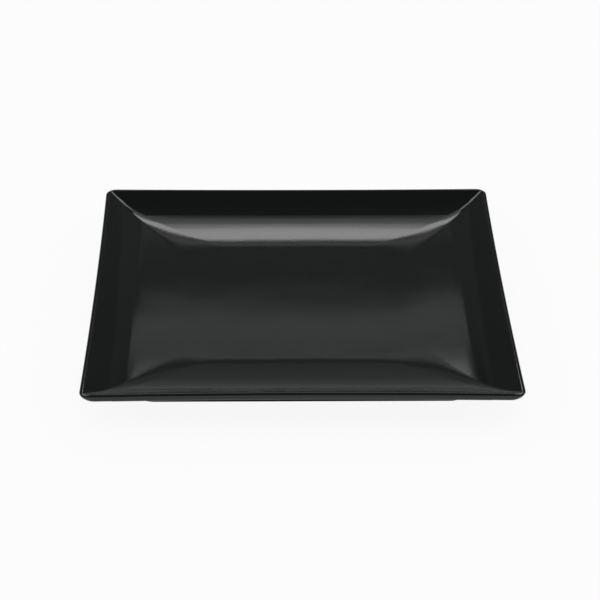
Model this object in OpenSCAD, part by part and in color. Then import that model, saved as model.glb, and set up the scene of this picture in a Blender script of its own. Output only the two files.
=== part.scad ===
// Square dinner plate with mitred, swept walls on a square foot ring.
// Millimetres, +Z up. The origin is at the centre of the face it stands on.

/* [Plate] */
// Width across the rim, the same both ways
plate_w = 265; // [240:1:300]
// Height from the foot's bearing face to the rim
plate_h = 24; // [22:0.5:28]
// Radius of the rim's corners seen from above
corner_r = 7.5; // [6:0.5:10]

/* [Rim] */
// Width from the outer edge to the crest, where the inner lip starts
land_w = 1.9; // [1.6:0.1:2.4]
// Fall of the land from the crest to the outer edge, in degrees
land_fall = 12; // [8:1:16]
// Radius of the rim's upper outer edge
rim_top_r = 1.4; // [1:0.1:1.6]
// Radius of the rim's lower outer edge
rim_low_r = 1.2; // [0.8:0.1:1.6]
// Height of the rim's outer edge, from its crest down to where its lower rounding starts
edge_h = 2.8; // [2.6:0.1:3.4]
// Radius of the lip that rolls over into the well
lip_r = 4.5; // [3.5:0.5:5.5]
// Slope at which the lip leaves the land, in degrees
lip_break = 6; // [4:1:10]

/* [Well] */
// Depth of the floor below the rim
well_depth = 12.4; // [11.4:0.2:13.4]
// Slope of the wall just inside the lip, in degrees
wall_slope = 32.5; // [31:0.5:33.5]
// Radius of the upper wall's hollow curve
wall_r = 65; // [60:1:70]
// Radius of the long sweep from the wall to the floor
sweep_r = 300; // [260:5:340]

/* [Body] */
// Thickness from the glazed face to the glazed underside, which tapers off under the wall
body_t = 5.5; // [5:0.1:6.2]
// Thickness of a coat of glaze
glaze_t = 0.4; // [0.3:0.05:0.5]
// Depth below the rim where the face coat meets the back coat on the outer edge
coat_meet_h = 2.2; // [1.9:0.1:2.5]

/* [Foot] */
// Width across the outside of the foot at the bearing face
foot_w = 204; // [182:1:214]
// Radius of the foot's outer corners at the bearing face
foot_corner_r = 12; // [10:1:20]
// Width of the foot ring at the bearing face
foot_band_w = 6; // [5:0.5:7]
// Radius on both edges of the bearing face
foot_edge_r = 1; // [0.6:0.1:1.2]
// Slant of the foot's two sides, in degrees from upright
foot_draft = 14; // [6:1:16]
// Height of the bare band that the glaze is wiped from
bare_h = 1.5; // [1.4:0.1:2]

/* [Hidden] */
$fn = 240;
// Overrun of every cut past the solid that it cuts
over = 2;
// How far a curve runs past the face that it blends into, so that the two cross in a clean line
blend = 0.004;

clay_colour = "#3b3733";
foot_colour = "#4a443e";
face_colour = "#1c1d1f";
back_colour = "#232426";

half_w = plate_w / 2;
floor_z = plate_h - well_depth;

// The lip rolls over from the land to the wall's slope about a point below the rim.
lip_x = half_w - land_w + lip_r * sin(lip_break);
lip_z = plate_h - lip_r * cos(lip_break);

// The wall's hollow curve starts where the lip ends, about a point above the plate.
lip_to_wall = lip_r + wall_r - blend;
wall_x = lip_x - lip_to_wall * sin(wall_slope);
wall_z = lip_z + lip_to_wall * cos(wall_slope);

// The sweep is level where it meets the floor, and the wall takes over from it at the knee.
sweep_z = floor_z + sweep_r - blend;
wall_to_sweep = sweep_r - wall_r + blend;
knee_slope = acos((sweep_z - wall_z) / wall_to_sweep);
sweep_x = wall_x - wall_to_sweep * sin(knee_slope);

// The rim's upper outer edge is rounded about a point below the land.
crest_x = half_w - land_w;
top_x = half_w - rim_top_r + blend;
top_z = plate_h - (top_x - crest_x) * tan(land_fall) - (rim_top_r - blend) / cos(land_fall);

// The rim's lower outer edge is rounded about a point at the foot of the upright face.
low_x = half_w - rim_low_r + blend;
low_z = plate_h - edge_h;

// The underside follows the sweep out to the knee, where a tighter curve takes over and ends in the
// lower rounding. Its radius comes from where that rounding lies, seen from the sweep's own centre.
under_sweep_r = sweep_r + body_t + blend;
low_inset = rim_low_r - blend;
low_along = (low_x - sweep_x) * sin(knee_slope) + (sweep_z - low_z) * cos(knee_slope);
low_square = pow(low_x - sweep_x, 2) + pow(sweep_z - low_z, 2);
under_r = (low_square - 2 * under_sweep_r * low_along + pow(under_sweep_r, 2) - pow(low_inset, 2))
    / (2 * (under_sweep_r - low_along - low_inset));
under_x = sweep_x + (under_sweep_r - under_r) * sin(knee_slope);
under_z = sweep_z - (under_sweep_r - under_r) * cos(knee_slope);
low_slope = asin((low_x - under_x) / (under_r - low_inset));

// The corners turn about upright axes this far from the middle.
corner_x = half_w - corner_r;
foot_corner_x = foot_w / 2 - foot_corner_r;

// The foot is drawn up to the level of the rim's lower edge, and the body cuts it to its seat.
foot_top_z = low_z;
foot_lean = foot_top_z * tan(foot_draft);

// The well cuts the land down from this level to the crest.
roof_z = plate_h + over;

// Where the lip ends, on a face that lies t below the glazed one
function lip_end_x(t) = lip_x - (lip_r - t) * sin(wall_slope);

// Part of a section between two distances from the middle
module slice(from_x, to_x, low, high) {
    translate([from_x, low]) square([to_x - from_x, high - low]);
}

// A section and its mirror image about the middle
module both_ways() {
    children();
    mirror([1, 0, 0]) children();
}

// A section extruded right across the plate, along Y
module run(length) {
    rotate([90, 0, 0]) linear_extrude(height = length, center = true) children();
}

// What two such runs share, one along Y and one along X, which meet in mitres on the diagonals
module crossed(length) {
    intersection() {
        run(length) children();
        rotate([0, 0, 90]) run(length) children();
    }
}

// Space above the sweep and the curve that takes over from it, on a face that lies t below the glazed one
module curved_section(t, curve_at, curve_r, low, top) {
    intersection() {
        translate([sweep_x, sweep_z]) circle(r = sweep_r + t);
        union() {
            slice(0, curve_at[0] + curve_r * sin(knee_slope), low, top);
            translate(curve_at) circle(r = curve_r);
        }
    }
}

// Space above the floor too, out to a given distance from the middle
module swept_section(t, curve_at, curve_r, outer_x, top) {
    low = floor_z - t;
    intersection() {
        slice(0, outer_x, low, top);
        union() {
            slice(0, sweep_x, low - over, top + over);
            curved_section(t, curve_at, curve_r, low - over, top + over);
        }
    }
}

// Space inside the well, whose lip is rounded over
module well_section(t) {
    top = roof_z + over;
    swept_section(t, [wall_x, wall_z], wall_r + t, lip_x, top);
    difference() {
        slice(lip_end_x(t), lip_x, lip_z, top);
        translate([lip_x, lip_z]) circle(r = lip_r - t);
    }
}

module well(t) {
    crossed(plate_w) both_ways() well_section(t);
}

// What the falling land and the rounding take off the rim's upper outer edge
module rim_top_waste(t) {
    far = rim_top_r + over;
    translate([crest_x, plate_h]) rotate(-land_fall) translate([0, -t]) slice(-land_w, land_w + far, 0, far);
    translate([top_x, top_z]) difference() {
        polygon([[0, 0], [far * sin(land_fall), far * cos(land_fall)], [far, far], [far, 0]]);
        circle(r = rim_top_r - t);
    }
}

// What the rounding takes off the rim's lower outer edge
module rim_low_waste(t) {
    far = rim_low_r + over;
    translate([low_x, low_z]) difference() {
        polygon([[0, 0], [far, 0], [far, -far], [far * sin(low_slope), -far * cos(low_slope)]]);
        circle(r = rim_low_r - t);
    }
}

// Half of the plate's outside with the well filled in, on a face that lies t inside the glazed one
module form_section(t) {
    difference() {
        swept_section(body_t - t, [under_x, under_z], under_r - t, half_w - t, roof_z);
        rim_top_waste(t);
        rim_low_waste(t);
    }
}

module form(t) {
    difference() {
        crossed(plate_w) both_ways() form_section(t);
        for (i = [0 : 3]) rotate([0, 0, 90 * i]) translate([corner_x, corner_x, 0])
            cube([corner_r + over, corner_r + over, roof_z + over]);
    }
    for (i = [0 : 3]) rotate([0, 0, 90 * i]) translate([corner_x, corner_x, 0])
        rotate_extrude(angle = 90) intersection() {
            translate([-corner_x, 0]) form_section(t);
            slice(0, corner_r, 0, roof_z + over);
        }
}

// Half of the foot's section about the middle of its band, with its side g further out
module foot_half_section(g) {
    edge_x = foot_band_w / 2 + g / cos(foot_draft);
    polygon([[0, 0], [edge_x, 0], [edge_x + foot_lean, foot_top_z], [0, foot_top_z]]);
}

// What the rounding takes off an edge of the bearing face
module foot_edge_waste() {
    centre_x = foot_band_w / 2 - foot_edge_r * tan((90 - foot_draft) / 2) + blend;
    far = foot_edge_r + over;
    translate([centre_x, foot_edge_r - blend]) difference() {
        polygon([[0, 0], [0, -far], [far, -far], [far * cos(foot_draft), -far * sin(foot_draft)]]);
        circle(r = foot_edge_r);
    }
}

module foot_section(g) {
    translate([foot_corner_r - foot_band_w / 2, 0]) both_ways() difference() {
        foot_half_section(g);
        if (g == 0) foot_edge_waste();
    }
}

// The foot's section carried round its rounded square
module foot(g) {
    for (i = [0 : 3]) rotate([0, 0, 90 * i]) {
        translate([foot_corner_x, 0, 0]) run(2 * foot_corner_x) foot_section(g);
        translate([foot_corner_x, foot_corner_x, 0]) rotate_extrude(angle = 90) intersection() {
            foot_section(g);
            slice(0, foot_corner_r + foot_lean + over, -over, foot_top_z + over);
        }
    }
}

// Space inside the middle line of the foot's band
module inside_foot() {
    r = foot_corner_r - foot_band_w / 2;
    reach = foot_corner_x + r;
    translate([0, 0, bare_h]) {
        translate([-reach, -foot_corner_x, 0]) cube([2 * reach, 2 * foot_corner_x, foot_top_z]);
        translate([-foot_corner_x, -reach, 0]) cube([2 * foot_corner_x, 2 * reach, foot_top_z]);
        for (i = [0 : 3]) rotate([0, 0, 90 * i]) translate([foot_corner_x, foot_corner_x, 0])
            cylinder(r = r, h = foot_top_z);
    }
}

// Everything above the line where the coats meet, with a floor that runs inside the clay
module above_meeting() {
    translate([-plate_w, -plate_w, plate_h - coat_meet_h]) cube([2 * plate_w, 2 * plate_w, plate_h]);
    well(2 * glaze_t);
}

// Everything below the bare band's upper edge
module below_glaze() {
    translate([-plate_w, -plate_w, -plate_h]) cube([2 * plate_w, 2 * plate_w, plate_h + bare_h]);
}

// The outside of the plate and of its foot, before the coats are parted
module lower_coat() {
    difference() {
        union() {
            form(0);
            foot(glaze_t);
        }
        form(glaze_t);
        foot(0);
        above_meeting();
        below_glaze();
    }
}

// The fired clay, thinner out at the rim
module clay_body() {
    color(clay_colour) difference() {
        form(glaze_t);
        well(glaze_t);
    }
}

// The strip of clay that the plate stands on, cut to the underside that it seats against
module foot_ring() {
    color(foot_colour) difference() {
        foot(0);
        form(glaze_t);
    }
}

// The coat over the well, the lip and the top of the rim
module face_glaze() {
    color(face_colour) difference() {
        intersection() {
            form(0);
            above_meeting();
        }
        well(0);
        difference() {
            form(glaze_t);
            well(glaze_t);
        }
    }
}

// The coat over the rim's outer face, the underside and the outer side of the foot
module back_glaze() {
    color(back_colour) difference() {
        lower_coat();
        inside_foot();
    }
}

// The coat over the underside within the foot, down the foot's inner side
module recess_glaze() {
    color(back_colour) intersection() {
        lower_coat();
        inside_foot();
    }
}

clay_body();
foot_ring();
face_glaze();
back_glaze();
recess_glaze();
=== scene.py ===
"""Square dinner plate in satin black glaze, standing on a pale floor at the photograph's angle."""

from math import acos, asin, copysign, cos, pi, radians, sin, sqrt, tan

import bmesh
import bpy
from mathutils import Matrix, Vector


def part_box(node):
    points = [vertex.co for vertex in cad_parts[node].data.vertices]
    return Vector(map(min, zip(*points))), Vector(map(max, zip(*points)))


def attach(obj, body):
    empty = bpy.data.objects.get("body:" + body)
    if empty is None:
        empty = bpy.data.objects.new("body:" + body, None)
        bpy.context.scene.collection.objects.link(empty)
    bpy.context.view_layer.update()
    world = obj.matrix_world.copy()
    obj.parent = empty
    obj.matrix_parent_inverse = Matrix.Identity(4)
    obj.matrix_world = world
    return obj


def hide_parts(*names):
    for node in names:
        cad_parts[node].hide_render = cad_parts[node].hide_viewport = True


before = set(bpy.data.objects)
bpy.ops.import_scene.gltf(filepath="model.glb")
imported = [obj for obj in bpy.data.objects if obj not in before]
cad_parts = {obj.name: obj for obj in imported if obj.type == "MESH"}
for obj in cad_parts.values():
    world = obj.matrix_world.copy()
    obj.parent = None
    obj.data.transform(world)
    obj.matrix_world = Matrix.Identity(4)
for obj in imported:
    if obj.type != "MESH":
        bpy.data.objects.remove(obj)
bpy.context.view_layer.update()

# Plate sizes in millimetres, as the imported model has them. A millimetre is MM in the scene's metres
MM = 0.001
HALF_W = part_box("face_glaze")[1].x / MM
RIM_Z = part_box("face_glaze")[1].z / MM
CORNER_R = 7.5
LAND_W = 1.9
LAND_FALL = radians(12)
RIM_TOP_R = 1.4
RIM_LOW_R = 1.2
EDGE_H = 2.8
LIP_R = 4.5
LIP_BREAK = radians(6)
WELL_DEPTH = 12.4
WALL_SLOPE = radians(32.5)
WALL_R = 65.0
SWEEP_R = 300.0
BODY_T = 5.5
GLAZE_T = 0.4
MEET_Z = RIM_Z - 2.2
FOOT_HALF = 102.0
FOOT_CORNER_R = 12.0
FOOT_BAND_W = 6.0
FOOT_DRAFT = radians(14)
BARE_Z = 1.5
# The sides bow inwards between the corners, the front one most, and not at all from the foot in
SIDE_BOW = 1.1
FRONT_BOW = 1.9
BOW_START = 105.0
# How much rounder a corner of the rim gets with each step down its edge
LOW_ROUNDING = 1.2
# How far each way the coats run out round the angle between the underside and the foot
FOOT_FILLET = 1.5

# Centres of the section's arcs, measured out from the middle
FLOOR_Z = RIM_Z - WELL_DEPTH
LIP_X = HALF_W - LAND_W + LIP_R * sin(LIP_BREAK)
LIP_Z = RIM_Z - LIP_R * cos(LIP_BREAK)
WALL_X = LIP_X - (LIP_R + WALL_R) * sin(WALL_SLOPE)
WALL_Z = LIP_Z + (LIP_R + WALL_R) * cos(WALL_SLOPE)
SWEEP_Z = FLOOR_Z + SWEEP_R
KNEE_SLOPE = acos((SWEEP_Z - WALL_Z) / (SWEEP_R - WALL_R))
SWEEP_X = WALL_X - (SWEEP_R - WALL_R) * sin(KNEE_SLOPE)
CREST_X = HALF_W - LAND_W
TOP_X = HALF_W - RIM_TOP_R
TOP_Z = RIM_Z - (LAND_W - RIM_TOP_R) * tan(LAND_FALL) - RIM_TOP_R / cos(LAND_FALL)
LOW_X = HALF_W - RIM_LOW_R
LOW_Z = RIM_Z - EDGE_H

# The underside's curve leaves the sweep at the knee and ends in the lower rounding
UNDER_SWEEP_R = SWEEP_R + BODY_T
LOW_ALONG = (LOW_X - SWEEP_X) * sin(KNEE_SLOPE) + (SWEEP_Z - LOW_Z) * cos(KNEE_SLOPE)
LOW_SQUARE = (LOW_X - SWEEP_X) ** 2 + (SWEEP_Z - LOW_Z) ** 2
UNDER_R = (LOW_SQUARE - 2 * UNDER_SWEEP_R * LOW_ALONG + UNDER_SWEEP_R ** 2 - RIM_LOW_R ** 2) / (
    2 * (UNDER_SWEEP_R - LOW_ALONG - RIM_LOW_R)
)
UNDER_X = SWEEP_X + (UNDER_SWEEP_R - UNDER_R) * sin(KNEE_SLOPE)
UNDER_Z = SWEEP_Z - (UNDER_SWEEP_R - UNDER_R) * cos(KNEE_SLOPE)
LOW_SLOPE = asin((LOW_X - UNDER_X) / (UNDER_R - RIM_LOW_R))

# Mesh steps of a ring, round a corner and along a side
CORNER_STEPS = 16
SIDE_CUTS = 31
# Rings are first stacked this far apart, so that each is bridged to the next and no other
RING_SPACING = 10
# Edges that turn more than this stay sharp
SHARP_TURN = radians(42)

# How many rings follow each stretch of the section
TOP_RINGS = 10
LIP_RINGS = 13
WALL_RINGS = 14
SWEEP_RINGS = 16
LOW_RINGS = 6
UNDER_RINGS = 18
FILLET_RINGS = 6
FOOT_RINGS = 4
RECESS_RINGS = 12
CLAY_RINGS = 32


def steps(start, end, count):
    """Evenly spaced values from start to end, both included."""
    return [start + (end - start) * i / (count - 1) for i in range(count)]


def ring(bm, half, corner, level):
    """A level rounded square loop of edges."""
    place = Matrix.Translation((0, 0, level * MM))
    flat = bmesh.ops.create_grid(bm, x_segments=1, y_segments=1, size=half * MM, matrix=place)
    cut = bmesh.ops.bevel(
        bm,
        geom=flat["verts"],
        offset=corner * MM,
        offset_type="OFFSET",
        segments=CORNER_STEPS,
        profile=0.5,
        affect="VERTICES",
        material=-1,
    )
    face = cut["verts"][0].link_faces[0]
    # The four sides are the longest edges, so they come first
    loop = sorted(face.edges, key=lambda e: -e.calc_length())
    bmesh.ops.delete(bm, geom=[face], context="FACES_ONLY")
    split = bmesh.ops.subdivide_edges(bm, edges=loop[:4], cuts=SIDE_CUTS)["geom_split"]
    return loop[4:] + [e for e in split if isinstance(e, bmesh.types.BMEdge)]


def draw_out(u, straight):
    """A place along a side, moved so that the steps get closer towards the corners."""
    s = u / straight
    return straight * (1.5 * s - 0.5 * s ** 3) if abs(s) < 1 else u


def skin(bm, rings, closed):
    """Joins rings into a shell, one above the other, then lets each down to its own height.

    A ring is its half width, its corner radius and its height, which is a number or a function of
    the place. A run that isn't closed gets a cap on its first and last ring.
    """
    loops = [ring(bm, half, corner, RING_SPACING * i) for i, (half, corner, _) in enumerate(rings)]
    for a, b in zip(loops, loops[1:]):
        bmesh.ops.bridge_loops(bm, edges=a + b)
    if closed:
        bmesh.ops.bridge_loops(bm, edges=loops[-1] + loops[0])
    else:
        for loop in (loops[0], loops[-1]):
            bmesh.ops.contextual_create(bm, geom=loop)
    for loop, (half, corner, z) in zip(loops, rings):
        for v in {v for e in loop for v in e.verts}:
            v.co.x = draw_out(v.co.x / MM, half - corner) * MM
            v.co.y = draw_out(v.co.y / MM, half - corner) * MM
            v.co.z = (z(v.co.x / MM, v.co.y / MM) if callable(z) else z) * MM


def bow_sides(bm):
    """Draws the middle of each side in a little, as the real rim is after its firing."""
    def share(u):
        s = min(max((abs(u) - BOW_START) / (HALF_W - BOW_START), 0), 1)
        return s * s * (3 - 2 * s)

    def arch(u):
        return max(1 - (u / HALF_W) ** 2, 0)

    for v in bm.verts:
        x, y = v.co.x / MM, v.co.y / MM
        v.co.x = (x - copysign(SIDE_BOW * share(x) * arch(y), x)) * MM
        bow = SIDE_BOW if y > 0 else FRONT_BOW
        v.co.y = (y - copysign(bow * share(y) * arch(x), y)) * MM


def finish_piece(bm, name, node):
    """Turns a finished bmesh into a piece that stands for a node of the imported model."""
    bow_sides(bm)
    bm.normal_update()
    bmesh.ops.recalc_face_normals(bm, faces=bm.faces[:])
    bm.normal_update()
    for f in bm.faces:
        f.smooth = True
    for e in bm.edges:
        e.smooth = e.calc_face_angle(0) < SHARP_TURN
    mesh = bpy.data.meshes.new(name)
    bm.to_mesh(mesh)
    bm.free()
    piece = bpy.data.objects.new(name, mesh)
    bpy.context.scene.collection.objects.link(piece)
    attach(piece, "root")
    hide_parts(node)
    return piece


# Rings of the face. In what follows t is how far a surface lies inside the glaze's outer one

# Radius that the glaze rounds the mitre creases to: its least, and how it grows in from the crest
CREASE_R = 2.4
CREASE_GROWTH = 0.0113
CREASE_POWER = 1.82
# How much rounder the creases are on a face below the glazed one, for each step down
INNER_ROUNDING = 3.0
# How far outside the crest the last rings of the land lie
LAND_RINGS_OUT = (0.35, 0.12)
# How far round from its break the rings of the lip start
LIP_START = radians(2)
# Rings of the level floor, as shares of its width
FLOOR_SHARES = (0.75, 0.5, 0.25)


def crease(half):
    """Radius of the creases at a distance from the middle."""
    return CREASE_R + CREASE_GROWTH * max(CREST_X - max(half, SWEEP_X), 0) ** CREASE_POWER


def edge_corner(half, z):
    """Corner radius of the rim's outer edge, which grows downwards."""
    return CORNER_R - HALF_W + half + LOW_ROUNDING * (TOP_Z - z)


def rim_level(x, y, t):
    """Height of the rounding and the land at a place, by its depth inside the rounded outline."""
    start = HALF_W - CORNER_R
    a, b = abs(x) - start, abs(y) - start
    depth = CORNER_R - (sqrt(a * a + b * b) if min(a, b) > 0 else max(a, b))
    at = HALF_W - max(depth, t)
    if at > TOP_X + (RIM_TOP_R - t) * sin(LAND_FALL):
        return TOP_Z + sqrt(max((RIM_TOP_R - t) ** 2 - (at - TOP_X) ** 2, 0))
    return RIM_Z - (at - CREST_X) * tan(LAND_FALL) - t / cos(LAND_FALL)


def under_land(t, lip_z=RIM_Z):
    """Height of the rim at a place, held down to that of the lip."""
    def height(x, y):
        return min(rim_level(x, y, t), lip_z)
    return height


def face_rings(t):
    """Rings of the face from where the coats meet, over the rim and down to the floor."""
    crest_corner = CREASE_R + INNER_ROUNDING * t
    narrowing = (CORNER_R - t - crest_corner) / (LAND_W - t)
    rings = [(HALF_W - t, edge_corner(HALF_W - t, MEET_Z), MEET_Z)]
    rounding = steps(0, pi / 2 - LAND_FALL, TOP_RINGS)
    outer = [TOP_X + (RIM_TOP_R - t) * cos(a) for a in rounding]
    for half in outer + [CREST_X + out for out in LAND_RINGS_OUT]:
        rings.append((half, CORNER_R - t - narrowing * (HALF_W - t - half), under_land(t)))
    for s in [LIP_BREAK] + steps(LIP_BREAK + LIP_START, WALL_SLOPE, LIP_RINGS):
        half = LIP_X - (LIP_R - t) * sin(s)
        lip_z = LIP_Z + (LIP_R - t) * cos(s)
        rings.append((half, crease(half) + INNER_ROUNDING * t, under_land(t, lip_z)))
    for s in steps(WALL_SLOPE, KNEE_SLOPE, WALL_RINGS)[1:]:
        half = WALL_X + (WALL_R + t) * sin(s)
        rings.append((half, crease(half) + INNER_ROUNDING * t, WALL_Z - (WALL_R + t) * cos(s)))
    for s in steps(KNEE_SLOPE, 0, SWEEP_RINGS)[1:]:
        half = SWEEP_X + (SWEEP_R + t) * sin(s)
        rings.append((half, crease(half) + INNER_ROUNDING * t, SWEEP_Z - (SWEEP_R + t) * cos(s)))
    for share in FLOOR_SHARES:
        rings.append((SWEEP_X * share, crease(SWEEP_X) * share, FLOOR_Z - t))
    return rings


def make_face_glaze():
    """The coat over the well, the lip and the top of the rim."""
    bm = bmesh.new()
    skin(bm, face_rings(GLAZE_T)[::-1] + face_rings(0), closed=False)
    return finish_piece(bm, "face_coat", "face_glaze")


# Rings of the underside and the foot. A surface of the foot lies g outside its clay

# Easing a mitre ridge moves it outwards, so this share of the easing is taken off again
RIDGE_BACK = 1 / 8
# Rounds of working out where the foot meets the underside
JOIN_ROUNDS = 20
# How far below a fillet the next ring lies
BELOW_FILLET = 1.2
# Rings of the underside below a corner of the rim, as shares of the corner's radius
LOW_SHARES = (0.55, 0.2)
# Corner radius of the underside inside the rim, and how much it gains on the way to the foot
UNDER_CORNER_R = 1.2
UNDER_CORNER_GAIN = 5.0
# Smallest ring of the recess, as a share of its largest
RECESS_LEAST = 0.08
# Smallest half width of the clay's underside rings, and their corner radius as a share of it
CLAY_LEAST = 8
CLAY_CORNER_SHARE = 0.1


def under_z(x, t):
    """Height of the underside at a distance from the middle, t inside its surface."""
    if x > UNDER_X + (UNDER_R - t) * sin(KNEE_SLOPE):
        return UNDER_Z - sqrt((UNDER_R - t) ** 2 - (x - UNDER_X) ** 2)
    if x > SWEEP_X:
        return SWEEP_Z - sqrt((UNDER_SWEEP_R - t) ** 2 - (x - SWEEP_X) ** 2)
    return FLOOR_Z - BODY_T + t


def under_surface(t, ease, drop=0):
    """Height at a place on the underside, whose mitre ridges are eased by that much."""
    def height(x, y):
        a, b = abs(x), abs(y)
        out = (a + b + sqrt((a - b) ** 2 + ease ** 2)) / 2 - ease * RIDGE_BACK
        return under_z(out, t) + drop
    return height


def foot_side(z, side, g):
    """Half width and corner radius of the foot's outer (1) or inner (-1) side at a height."""
    out = z * tan(FOOT_DRAFT) + g / cos(FOOT_DRAFT)
    half = FOOT_HALF + out if side > 0 else FOOT_HALF - FOOT_BAND_W - out
    return half, FOOT_CORNER_R - FOOT_HALF + half


def foot_join(side, g, t):
    """Height at which a side of the foot meets the underside, on the plate's middle lines."""
    z = FLOOR_Z - BODY_T
    for _ in range(JOIN_ROUNDS):
        z = under_z(foot_side(z, side, g)[0], t)
    return z


def foot_fillet(side, g, t):
    """Rings round the angle between the underside and a side of the foot, from the top down."""
    join_z = foot_join(side, g, t)
    join = Vector((foot_side(join_z, side, g)[0], join_z))
    start_x = join.x + side * FOOT_FILLET
    start = Vector((start_x, under_z(start_x, t)))
    end = join - FOOT_FILLET * Vector((side * sin(FOOT_DRAFT), cos(FOOT_DRAFT)))
    rings = []
    for s in steps(0, 1, FILLET_RINGS):
        at = (1 - s) ** 2 * start + 2 * s * (1 - s) * join + s ** 2 * end
        drop = at.y - under_z(at.x, t)
        corner = FOOT_CORNER_R - FOOT_HALF + at.x
        rings.append((at.x, corner, under_surface(t, 0, drop)))
    return rings


def foot_rings(side, g, t):
    """Rings of a side of the foot, from its bare band up to its fillet."""
    top_z = foot_join(side, g, t) - FOOT_FILLET - BELOW_FILLET
    return [(*foot_side(z, side, g), z) for z in steps(BARE_Z, top_z, FOOT_RINGS)]


def low_rings(t):
    """Rings of the rim's lower edge, from its upright face in under the corner."""
    rings = []
    for a in steps(pi / 2, LOW_SLOPE, LOW_RINGS):
        half = LOW_X + (RIM_LOW_R - t) * sin(a)
        z = LOW_Z - (RIM_LOW_R - t) * cos(a)
        rings.append((half, edge_corner(half, z), z))
    for share in LOW_SHARES:
        half = HALF_W - (1 - share) * CORNER_R
        rings.append((half, share * edge_corner(HALF_W, LOW_Z), under_z(half, t)))
    return rings


def back_rings(t, g):
    """Rings of the back coat, down the rim, in under the plate and down the foot."""
    rings = [(HALF_W - t, edge_corner(HALF_W - t, MEET_Z), MEET_Z)] + low_rings(t)
    foot = foot_fillet(1, g, t)
    foot_half, foot_corner = foot[0][:2]
    start = HALF_W - CORNER_R
    for half in steps(start, foot_half, UNDER_RINGS)[:-1]:
        share = (start - half) / (start - foot_half)
        corner = UNDER_CORNER_R + UNDER_CORNER_GAIN * share
        rest = foot_corner - UNDER_CORNER_R - UNDER_CORNER_GAIN
        corner += rest * max(0, share * 2 - 1) ** 2
        rings.append((half, corner, under_surface(t, 2 * g * (1 - share))))
    return rings + foot + foot_rings(1, g, t)[::-1]


def make_back_glaze():
    """The coat over the rim's lower edge, the underside and the outer side of the foot."""
    bm = bmesh.new()
    skin(bm, back_rings(0, GLAZE_T) + back_rings(GLAZE_T, 0)[::-1], closed=True)
    return finish_piece(bm, "back_coat", "back_glaze")


def recess_rings(t, g):
    """Rings of the recess coat, up the foot's inner side and in under the plate."""
    rings = foot_rings(-1, g, t) + foot_fillet(-1, g, t)[::-1]
    half, corner = rings[-1][:2]
    for share in steps(1, RECESS_LEAST, RECESS_RINGS)[1:]:
        rings.append((half * share, corner * share, under_surface(t, 0)))
    return rings


def make_recess_glaze():
    """The coat inside the foot, cut off from the back coat by the bare band."""
    bm = bmesh.new()
    skin(bm, recess_rings(0, GLAZE_T)[::-1] + recess_rings(GLAZE_T, 0), closed=False)
    return finish_piece(bm, "recess_coat", "recess_glaze")


def make_clay_body():
    """The clay under the coats, from the middle of its underside round the rim to the well."""
    bm = bmesh.new()
    under = under_surface(GLAZE_T, 0)
    halves = steps(CLAY_LEAST, HALF_W - CORNER_R, CLAY_RINGS)
    rings = [(half, CLAY_CORNER_SHARE * half, under) for half in halves]
    rings += low_rings(GLAZE_T)[::-1] + face_rings(GLAZE_T)
    skin(bm, rings, closed=False)
    return finish_piece(bm, "pressed_clay", "clay_body")


# Materials. Scales of noise are in waves to the metre, and distances of bump in metres

GLAZE_IOR = 1.45
GLAZE_DARK = (0.0050, 0.0074, 0.0066)
GLAZE_LIGHT = (0.0060, 0.0084, 0.0075)
GLAZE_GRAIN = (0.0056, 0.0076, 0.0069)
GLAZE_ROUGHNESS = (0.072, 0.082)
CLAY_SPECULAR = 0.2
CLAY_ROUGHNESS = (0.78, 0.92)
# The part of a noise's values that is spread over a range: for clouds, for grain and for grog
CLOUD_SPAN = (0.3, 0.7)
GRAIN_SPAN = (0.4, 0.6)
GROG_SPAN = (0.62, 0.7)
# Places of the colour sockets on a mix node: its two colours, and what comes out
MIX_COLOURS = (6, 7)
MIX_RESULT = 2


class Maker:
    """A material's nodes, with short calls to add and join them."""

    def __init__(self, name):
        self.material = bpy.data.materials.new(name)
        self.material.use_nodes = True
        self.tree = self.material.node_tree
        self.tree.nodes.clear()
        self.out = self.add("ShaderNodeOutputMaterial")

    def add(self, kind, **settings):
        node = self.tree.nodes.new(kind)
        for key, value in settings.items():
            setattr(node, key, value)
        return node

    def join(self, source, target):
        self.tree.links.new(source, target)

    def noise(self, place, scale, detail=2, roughness=0.5):
        node = self.add("ShaderNodeTexNoise")
        node.inputs["Scale"].default_value = scale
        node.inputs["Detail"].default_value = detail
        node.inputs["Roughness"].default_value = roughness
        self.join(place, node.inputs["Vector"])
        return node.outputs["Fac"]

    def spread(self, value, span, to=(0.0, 1.0)):
        """A value within a span, spread over the range that is given as to."""
        node = self.add("ShaderNodeMapRange")
        for key, number in zip(("From Min", "From Max", "To Min", "To Max"), (*span, *to)):
            node.inputs[key].default_value = number
        self.join(value, node.inputs["Value"])
        return node.outputs["Result"]

    def mix(self, factor, a, b):
        node = self.add("ShaderNodeMix", data_type="RGBA")
        self.join(factor, node.inputs["Factor"])
        for index, value in zip(MIX_COLOURS, (a, b)):
            if isinstance(value, bpy.types.NodeSocket):
                self.join(value, node.inputs[index])
            else:
                node.inputs[index].default_value = (*value, 1)
        return node.outputs[MIX_RESULT]

    def bump(self, height, distance, strength=1.0, under=None):
        node = self.add("ShaderNodeBump")
        node.inputs["Distance"].default_value = distance
        node.inputs["Strength"].default_value = strength
        self.join(height, node.inputs["Height"])
        if under:
            self.join(under, node.inputs["Normal"])
        return node.outputs["Normal"]


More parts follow.
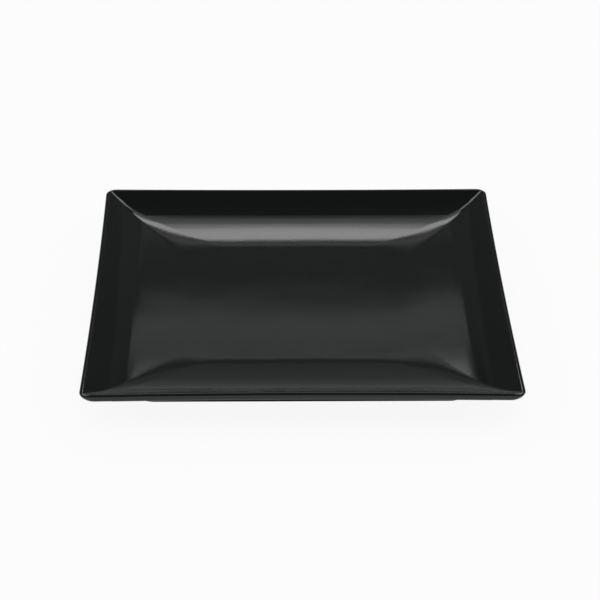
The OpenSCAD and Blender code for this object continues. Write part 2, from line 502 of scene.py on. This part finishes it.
def satin_black_glaze():
    """Satin black, with a little spread of tone and sheen and a faint swell."""
    m = Maker("satin_black_glaze")
    place = m.add("ShaderNodeTexCoord").outputs["Object"]
    shader = m.add("ShaderNodeBsdfPrincipled")
    shader.inputs["IOR"].default_value = GLAZE_IOR
    pool = m.noise(place, scale=28, detail=3)
    grain = m.noise(place, scale=1500, detail=2)
    tone = m.mix(m.spread(pool, CLOUD_SPAN), GLAZE_DARK, GLAZE_LIGHT)
    colour = m.mix(m.spread(grain, GRAIN_SPAN), tone, GLAZE_GRAIN)
    m.join(colour, shader.inputs["Base Color"])
    haze = m.noise(place, scale=90, detail=4)
    m.join(m.spread(haze, CLOUD_SPAN, to=GLAZE_ROUGHNESS), shader.inputs["Roughness"])
    swell = m.bump(m.noise(place, scale=22, detail=1), distance=0.0006, strength=0.15)
    pores = m.noise(place, scale=620, detail=2)
    peel = m.bump(pores, distance=0.00003, strength=0.3, under=swell)
    m.join(peel, shader.inputs["Normal"])
    m.join(shader.outputs[0], m.out.inputs["Surface"])
    return m.material


def fired_clay(name, dark, light, fleck):
    """Dry clay between two tones, with flecks of grog."""
    m = Maker(name)
    place = m.add("ShaderNodeTexCoord").outputs["Object"]
    shader = m.add("ShaderNodeBsdfPrincipled")
    shader.inputs["Specular IOR Level"].default_value = CLAY_SPECULAR
    clouds = m.noise(place, scale=60, detail=5, roughness=0.6)
    body = m.mix(m.spread(clouds, CLOUD_SPAN), dark, light)
    grog = m.spread(m.noise(place, scale=900, detail=3, roughness=0.7), GROG_SPAN)
    m.join(m.mix(grog, body, fleck), shader.inputs["Base Color"])
    dryness = m.noise(place, scale=400, detail=3)
    m.join(m.spread(dryness, CLOUD_SPAN, to=CLAY_ROUGHNESS), shader.inputs["Roughness"])
    grit = m.noise(place, scale=1100, detail=4, roughness=0.7)
    m.join(m.bump(grit, distance=0.00006, strength=0.6), shader.inputs["Normal"])
    m.join(shader.outputs[0], m.out.inputs["Surface"])
    return m.material


def dress(piece, material):
    piece.data.materials.clear()
    piece.data.materials.append(material)


black_glaze = satin_black_glaze()
# The foot's bare clay has its own dark tone, and painted shade makes it darker than the body's clay,
# for the shadow under the plate
bare_clay_with_painted_shade = fired_clay(
    "bare_fired_clay_with_painted_shade",
    dark=(0.024, 0.021, 0.018),
    light=(0.036, 0.031, 0.027),
    fleck=(0.08, 0.07, 0.06),
)
body_clay = fired_clay(
    "fired_clay",
    dark=(0.052, 0.045, 0.040),
    light=(0.070, 0.060, 0.052),
    fleck=(0.14, 0.12, 0.10),
)

for piece in (make_face_glaze(), make_back_glaze(), make_recess_glaze()):
    dress(piece, black_glaze)
dress(make_clay_body(), body_clay)
for material_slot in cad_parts["foot_ring"].material_slots:
    material_slot.material = bare_clay_with_painted_shade


# Camera at the photograph's place, looking down at the plate, in metres and radians
CAMERA_AT = Vector((-0.02353933, -1.160138, 0.6975599))
YAW, PITCH, ROLL = 0.02068838, 0.533895, 0.007962948
# Focal length as a share of the frame's width
FOCAL_SHARE = 3.4715


def aim(yaw, pitch, roll):
    """Turn of a camera that looks along +Y, turned right by yaw and down by pitch, then rolled."""
    ahead = Vector((sin(yaw) * cos(pitch), cos(yaw) * cos(pitch), -sin(pitch)))
    right = Vector((cos(yaw), -sin(yaw), 0))
    up = right.cross(ahead)
    across = cos(roll) * right + sin(roll) * up
    upward = cos(roll) * up - sin(roll) * right
    return Matrix((across, upward, -ahead)).transposed().to_4x4()


lens = bpy.data.cameras.new("camera")
lens.sensor_width = 36
lens.lens = FOCAL_SHARE * lens.sensor_width
lens.clip_end = 50
camera = bpy.data.objects.new("camera", lens)
camera.matrix_world = Matrix.Translation(CAMERA_AT) @ aim(YAW, PITCH, ROLL)
bpy.context.scene.collection.objects.link(camera)
bpy.context.scene.camera = camera


# Stage: a pale floor, a white surround, a softbox, and plain cards that only gloss sees


def background_rays(tree):
    """1 for rays that should see the white background, 0 for those that light the object."""
    rays = tree.nodes.new("ShaderNodeLightPath")
    total = rays.outputs["Is Camera Ray"]
    for name in ("Is Glossy Ray", "Is Transmission Ray"):
        add = tree.nodes.new("ShaderNodeMath")
        add.operation = "MAXIMUM"
        tree.links.new(total, add.inputs[0])
        tree.links.new(rays.outputs[name], add.inputs[1])
        total = add.outputs[0]
    return total


# Strength of the surround where it lights the plate, and where it is seen
ROOM_LIGHT = 0.82
ROOM_SEEN = 1.0
world = bpy.data.worlds.new("white_surround")
world.use_nodes = True
bpy.context.scene.world = world
tree = world.node_tree
tree.nodes.clear()
output = tree.nodes.new("ShaderNodeOutputWorld")
choice = tree.nodes.new("ShaderNodeMixShader")
tree.links.new(background_rays(tree), choice.inputs[0])
for index, strength in ((1, ROOM_LIGHT), (2, ROOM_SEEN)):
    shade = tree.nodes.new("ShaderNodeBackground")
    shade.inputs["Color"].default_value = (1, 1, 1, 1)
    shade.inputs["Strength"].default_value = strength
    tree.links.new(shade.outputs[0], choice.inputs[index])
tree.links.new(choice.outputs[0], output.inputs["Surface"])


def flat_sheet(name, width, depth, place, material):
    """A flat rectangle, with its middle put in place by a matrix."""
    bm = bmesh.new()
    bmesh.ops.create_grid(bm, x_segments=1, y_segments=1, size=0.5)
    bmesh.ops.scale(bm, vec=(width, depth, 1), verts=bm.verts)
    bmesh.ops.transform(bm, matrix=place, verts=bm.verts)
    mesh = bpy.data.meshes.new(name)
    bm.to_mesh(mesh)
    bm.free()
    mesh.materials.append(material)
    sheet = bpy.data.objects.new(name, mesh)
    bpy.context.scene.collection.objects.link(sheet)
    return sheet


# The floor: its size, how far it lies under the foot, and its tone where it only throws light back.
# Where it is seen it glows, and a little of its tone comes from the light, so that it shows shadow
FLOOR_W = 30.0
FLOOR_DROP = 0.00002
FLOOR_TONE = 0.8
FLOOR_SHADOW = 0.08
FLOOR_GLOW = 0.91


def floor_paint():
    """Pale diffuse paint for the light it throws back, and an almost even glow where it is seen."""
    m = Maker("pale_floor")
    soft = m.add("ShaderNodeBsdfDiffuse")
    soft.inputs["Color"].default_value = (FLOOR_TONE, FLOOR_TONE, FLOOR_TONE, 1)
    seen = m.add("ShaderNodeAddShader")
    shadow = m.add("ShaderNodeBsdfDiffuse")
    shadow.inputs["Color"].default_value = (FLOOR_SHADOW, FLOOR_SHADOW, FLOOR_SHADOW, 1)
    glow = m.add("ShaderNodeEmission")
    glow.inputs["Strength"].default_value = FLOOR_GLOW
    m.join(shadow.outputs[0], seen.inputs[0])
    m.join(glow.outputs[0], seen.inputs[1])
    choice = m.add("ShaderNodeMixShader")
    m.join(background_rays(m.tree), choice.inputs[0])
    m.join(soft.outputs[0], choice.inputs[1])
    m.join(seen.outputs[0], choice.inputs[2])
    m.join(choice.outputs[0], m.out.inputs["Surface"])
    return m.material


def card_paint(name, level):
    m = Maker(name)
    soft = m.add("ShaderNodeEmission")
    soft.inputs["Strength"].default_value = level
    m.join(soft.outputs[0], m.out.inputs["Surface"])
    return m.material


flat_sheet("floor", FLOOR_W, FLOOR_W, Matrix.Translation((0, 0, -FLOOR_DROP)), floor_paint())


def card(name, width, height, centre, tilt, turn, level):
    """An even glow that only gloss sees. It lies flat before its tilt, and turns about Z."""
    place = (
        Matrix.Translation(centre)
        @ Matrix.Rotation(radians(turn), 4, "Z")
        @ Matrix.Rotation(radians(tilt), 4, "X")
    )
    sheet = flat_sheet(name, width, height, place, card_paint(name, level))
    sheet.visible_camera = False
    sheet.visible_diffuse = False
    sheet.visible_shadow = False
    sheet.visible_transmission = False


def level_card(name, width, depth, centre, level):
    card(name, width, depth, centre, tilt=0, turn=0, level=level)


def standing_card(name, width, height, x, y, level, turn=0):
    """An upright card that stands on the floor."""
    card(name, width, height, (x, y, height / 2), tilt=90, turn=turn, level=level)


# The wall of cards stands this far behind the plate, and each band of it runs between two
# heights, which are given as the angles in degrees at which the back of the plate sees them
WALL_AT = 8.0
BACK_OF_PLATE = 0.1
# How far apart cards lie where one covers a part of another
LAYER = 0.1
# Middle of the bands below the softbox, and of those just above it
LOW_BANDS_X = 0.2
HIGH_BANDS_X = 0.1


def wall_height(up):
    """Height on the wall that the back of the plate sees at an angle."""
    return (WALL_AT - BACK_OF_PLATE) * tan(radians(up))


def band(name, width, low, high, level, x=0.0, y=WALL_AT):
    low_z, high_z = wall_height(low), wall_height(high)
    centre = (x, y, (low_z + high_z) / 2)
    card(name, width, high_z - low_z, centre, tilt=90, turn=0, level=level)


# Cards behind the bands: the wall's own tone, and lighter ones that the side walls mirror
standing_card("card_back", 26.0, 17.0, x=0, y=WALL_AT + 2 * LAYER, level=0.055)
standing_card("card_flank_left", 1.7, 5.0, x=-1.55, y=WALL_AT + LAYER, level=0.12)
standing_card("card_flank_right", 1.7, 5.0, x=1.95, y=WALL_AT + LAYER, level=0.12)
standing_card("card_far_left", 6.0, 6.5, x=-5.4, y=WALL_AT + LAYER, level=0.085)
standing_card("card_far_right", 6.0, 6.5, x=5.8, y=WALL_AT + LAYER, level=0.085)
# Cards beside and above the plate, and a dark card under it that is painted shadow: it stands in for
# the shaded floor that the plate's low edges mirror
standing_card("card_left", 4.2, 3.0, x=-2.6, y=0.3, level=0.195, turn=90)
standing_card("card_right", 4.2, 3.0, x=2.6, y=0.3, level=0.195, turn=90)
level_card("card_top", 6.4, 3.06, (0, -0.44, 2.0), level=0.05)
level_card("card_top_left", 1.2, 0.9, (-1.3, 0.9, 1.95), level=4.0)
level_card("card_top_right", 1.2, 0.9, (1.3, 0.9, 1.95), level=4.0)
# Painted shadow: a dark card just over the floor under the plate, seen only by gloss
level_card("painted_shadow_card", 0.23, 0.23, (0, 0, -FLOOR_DROP / 2), level=0.03)
# Bands below the softbox: the front wall mirrors the lowest, and the floor of the well the rest
band("band_low", 2.4, 0, 12, level=0.30, x=LOW_BANDS_X)
band("band_ledge", 2.0, 12, 21.5, level=0.30, x=LOW_BANDS_X)
band("band_step", 1.7, 21.5, 26.5, level=0.22, x=LOW_BANDS_X)
band("band_rise", 1.7, 26.5, 29.3, level=0.20, x=LOW_BANDS_X)
band("band_glow", 2.0, 31.3, 32.3, level=0.64, x=LOW_BANDS_X)
band("band_foot", 1.1, 33.1, 33.7, level=0.25, x=LOW_BANDS_X)
band("band_base", 1.3, 33.7, 34.4, level=0.9, x=LOW_BANDS_X)
# Bands above the softbox, which the back wall mirrors above the bright stripe at its foot
band("band_fall", 2.7, 39.4, 41.4, level=1.9, x=HIGH_BANDS_X)
band("band_high", 2.7, 41.4, 47, level=0.95, x=HIGH_BANDS_X)
band("band_higher", 3.0, 47, 51, level=0.75)
band("band_highest", 3.0, 51, 56, level=0.4)
# Bands to the sides, which the creases at the back mirror
band("band_left", 5.2, 45, 66, level=3.0, x=-4.8)
band("band_right", 5.2, 45, 66, level=3.0, x=4.8)
band("band_corner_left", 1.35, 45.5, 55, level=2.2, x=-1.525, y=WALL_AT - LAYER)
band("band_corner_right", 0.95, 46, 55, level=2.2, x=1.825, y=WALL_AT - LAYER)

# The softbox is an ellipse that hangs in the wall of cards, below its upper bands
SOFTBOX_LEVEL = 3.35
SOFTBOX_LOW, SOFTBOX_HIGH = 33.9, 39.5
SOFTBOX_W = 3.0
SOFTBOX_X = 0.14
softbox_low_z, softbox_high_z = wall_height(SOFTBOX_LOW), wall_height(SOFTBOX_HIGH)
softbox_light = bpy.data.lights.new("softbox", "AREA")
softbox_light.shape = "ELLIPSE"
softbox_light.size = SOFTBOX_W
softbox_light.size_y = softbox_high_z - softbox_low_z
# The energy is the level times pi times the ellipse's area
softbox_area = pi / 4 * softbox_light.size * softbox_light.size_y
softbox_light.energy = SOFTBOX_LEVEL * pi * softbox_area
softbox = bpy.data.objects.new("softbox", softbox_light)
softbox_at = (SOFTBOX_X, WALL_AT, (softbox_high_z + softbox_low_z) / 2)
softbox.matrix_world = Matrix.Translation(softbox_at) @ Matrix.Rotation(radians(-90), 4, "X")
bpy.context.scene.collection.objects.link(softbox)

bpy.context.scene.view_settings.view_transform = "Standard"
